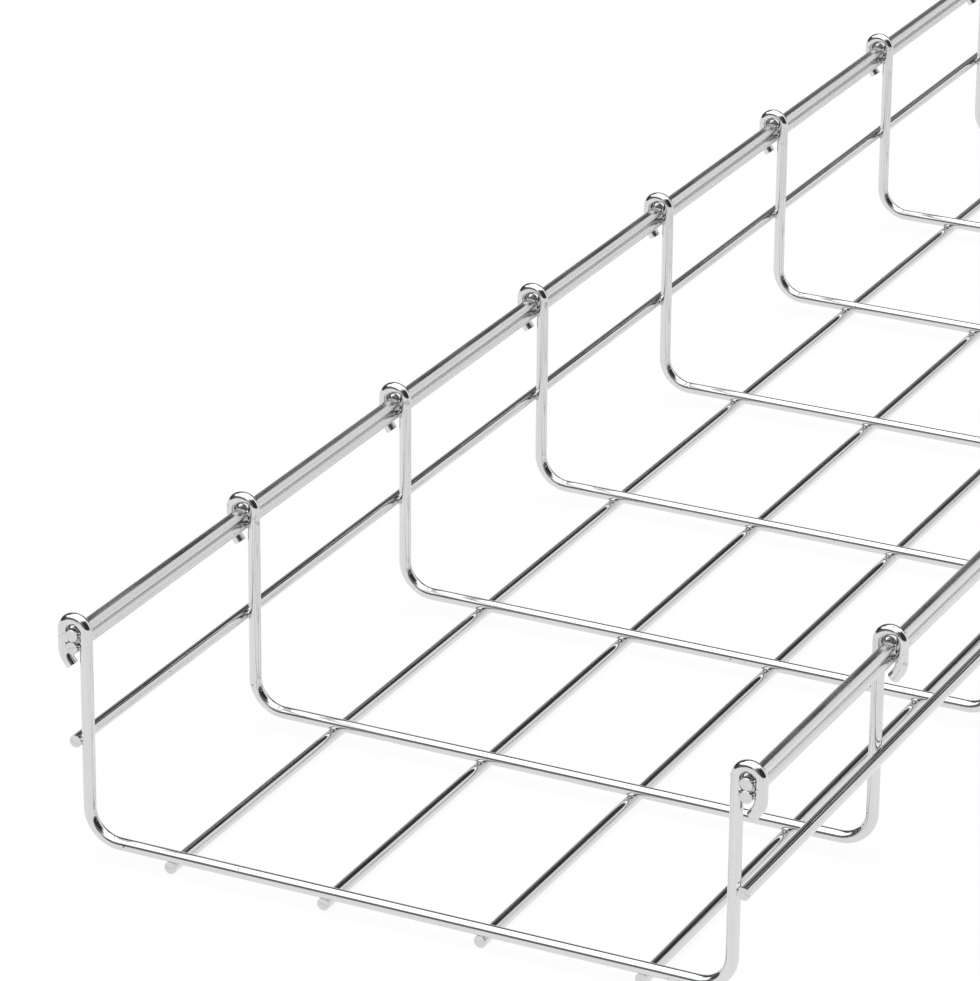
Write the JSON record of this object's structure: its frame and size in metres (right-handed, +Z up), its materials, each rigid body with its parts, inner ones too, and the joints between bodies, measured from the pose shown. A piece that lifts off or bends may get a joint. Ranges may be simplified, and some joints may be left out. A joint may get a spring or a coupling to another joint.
{
  "type": "wire mesh cable basket",
  "caption": "Straight U-shaped tray of welded round wire with a hooked safety edge, for carrying cable runs along a wall, floor or ceiling.",
  "frame": {"origin": "centre of the tray's length and width, on the plane under the bottom wires", "axes": "+X across the tray to the right, +Y along it away from the front end, +Z up"},
  "size_m": [0.222, 3.0044, 0.076],
  "materials": {
    "zinc_wire": "bright zinc-plated drawn wire"
  },
  "bodies": {
    "root": {"hoop_01": "zinc_wire", "hoop_02": "zinc_wire", "hoop_03": "zinc_wire", "hoop_04": "zinc_wire", "hoop_05": "zinc_wire", "hoop_06": "zinc_wire", "hoop_07": "zinc_wire", "hoop_08": "zinc_wire", "hoop_09": "zinc_wire", "hoop_10": "zinc_wire", "hoop_11": "zinc_wire", "hoop_12": "zinc_wire", "hoop_13": "zinc_wire", "hoop_14": "zinc_wire", "hoop_15": "zinc_wire", "hoop_16": "zinc_wire", "hoop_17": "zinc_wire", "hoop_18": "zinc_wire", "hoop_19": "zinc_wire", "hoop_20": "zinc_wire", "hoop_21": "zinc_wire", "hoop_22": "zinc_wire", "hoop_23": "zinc_wire", "hoop_24": "zinc_wire", "hoop_25": "zinc_wire", "hoop_26": "zinc_wire", "hoop_27": "zinc_wire", "hoop_28": "zinc_wire", "hoop_29": "zinc_wire", "hoop_30": "zinc_wire", "hoop_31": "zinc_wire", "bottom_wire_1": "zinc_wire", "bottom_wire_2": "zinc_wire", "bottom_wire_3": "zinc_wire", "bottom_wire_4": "zinc_wire", "side_wire_left": "zinc_wire", "side_wire_right": "zinc_wire", "top_wire_left_upper": "zinc_wire", "top_wire_left_lower": "zinc_wire", "top_wire_right_upper": "zinc_wire", "top_wire_right_lower": "zinc_wire"}
  },
  "joints": []
}
